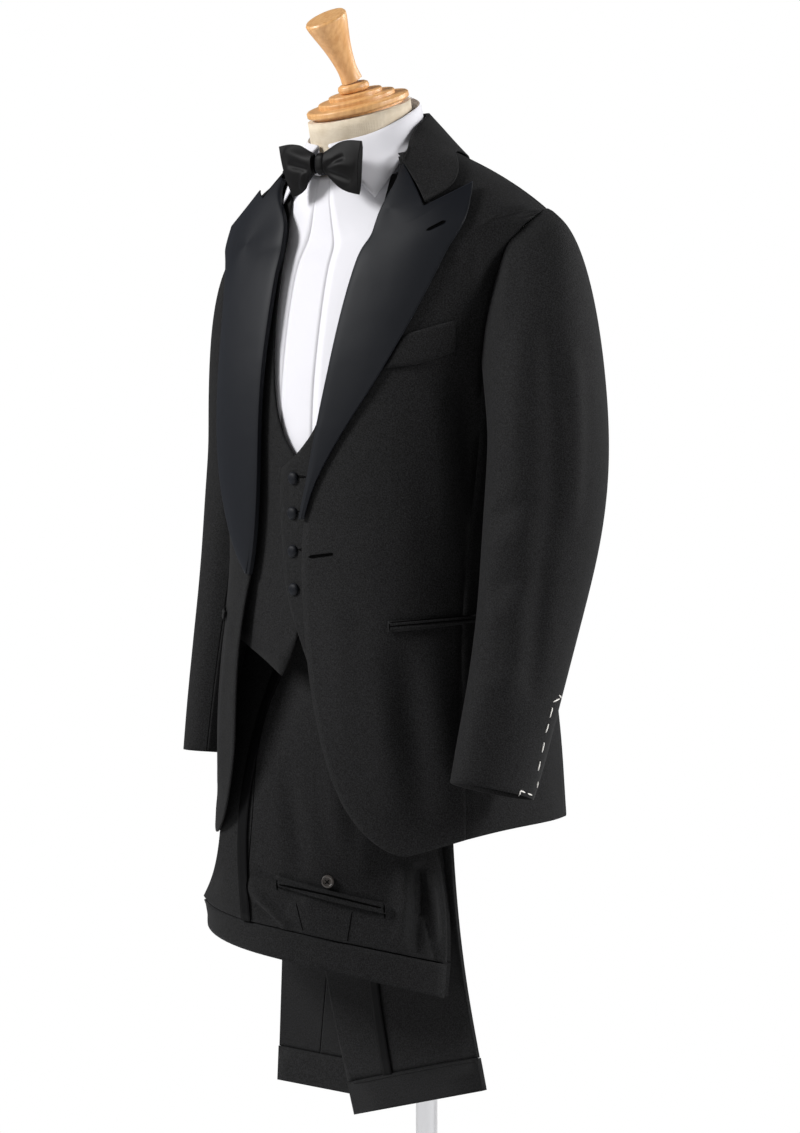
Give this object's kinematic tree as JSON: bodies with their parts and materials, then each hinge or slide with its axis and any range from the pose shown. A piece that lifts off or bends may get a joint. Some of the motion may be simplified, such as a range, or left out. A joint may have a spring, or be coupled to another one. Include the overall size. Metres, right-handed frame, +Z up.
{
  "type": "tuxedo on a dress form",
  "caption": "Dinner suit with peaked satin lapels, low waistcoat, shirt front and bow tie on a limbless dress form, with trousers folded over a bar inside the jacket.",
  "frame": {"origin": "middle of the base's underside on the floor", "axes": "+Z up, the suit faces -Y, the wearer's left side is at +X"},
  "size_m": [0.6016, 0.4, 1.6611],
  "materials": {
    "black_wool": "matt barathea",
    "black_satin": "satin",
    "white_cotton": "poplin",
    "beige_linen": "plain linen",
    "beech": "lacquered",
    "steel": "brushed",
    "painted_steel": "powder coat",
    "black_horn": "polished horn"
  },
  "bodies": {
    "root": {"back_pocket": "black_wool", "back_pocket_button": "black_horn", "base": "painted_steel", "bow_back_wing_left": "black_satin", "bow_back_wing_right": "black_satin", "bow_band": "black_satin", "bow_knot": "black_satin", "bow_wing_left": "black_satin", "bow_wing_right": "black_satin", "breast_welt": "black_wool", "form_torso": "beige_linen", "handle": "beech", "hip_pocket_left": "black_wool", "hip_pocket_right": "black_wool", "jacket_back_left": "black_wool", "jacket_back_right": "black_wool", "jacket_collar": "black_wool", "jacket_front_left": "black_wool", "jacket_front_right": "black_wool", "jacket_side_left": "black_wool", "jacket_side_right": "black_wool", "knob_ring": "beech", "lapel_left": "black_satin", "lapel_right": "black_satin", "neck_discs": "beech", "pole": "steel", "satin_stripe_left": "black_satin", "satin_stripe_right": "black_satin", "shirt_back": "white_cotton", "shirt_collar": "white_cotton", "shirt_front_left": "white_cotton", "shirt_front_right": "white_cotton", "shirt_placket": "white_cotton", "top_sleeve_left": "black_wool", "top_sleeve_right": "black_wool", "trouser_back_left": "black_wool", "trouser_back_right": "black_wool", "trouser_bar": "steel", "trouser_front_left": "black_wool", "trouser_front_right": "black_wool", "turn_up_left": "black_wool", "turn_up_right": "black_wool", "under_sleeve_left": "black_wool", "under_sleeve_right": "black_wool", "waistband_left": "black_wool", "waistband_right": "black_wool", "waistcoat_back": "black_wool", "waistcoat_button_1": "black_satin", "waistcoat_button_2": "black_satin", "waistcoat_button_3": "black_satin", "waistcoat_button_4": "black_satin", "waistcoat_front_left": "black_wool", "waistcoat_front_right": "black_wool"}
  },
  "joints": []
}
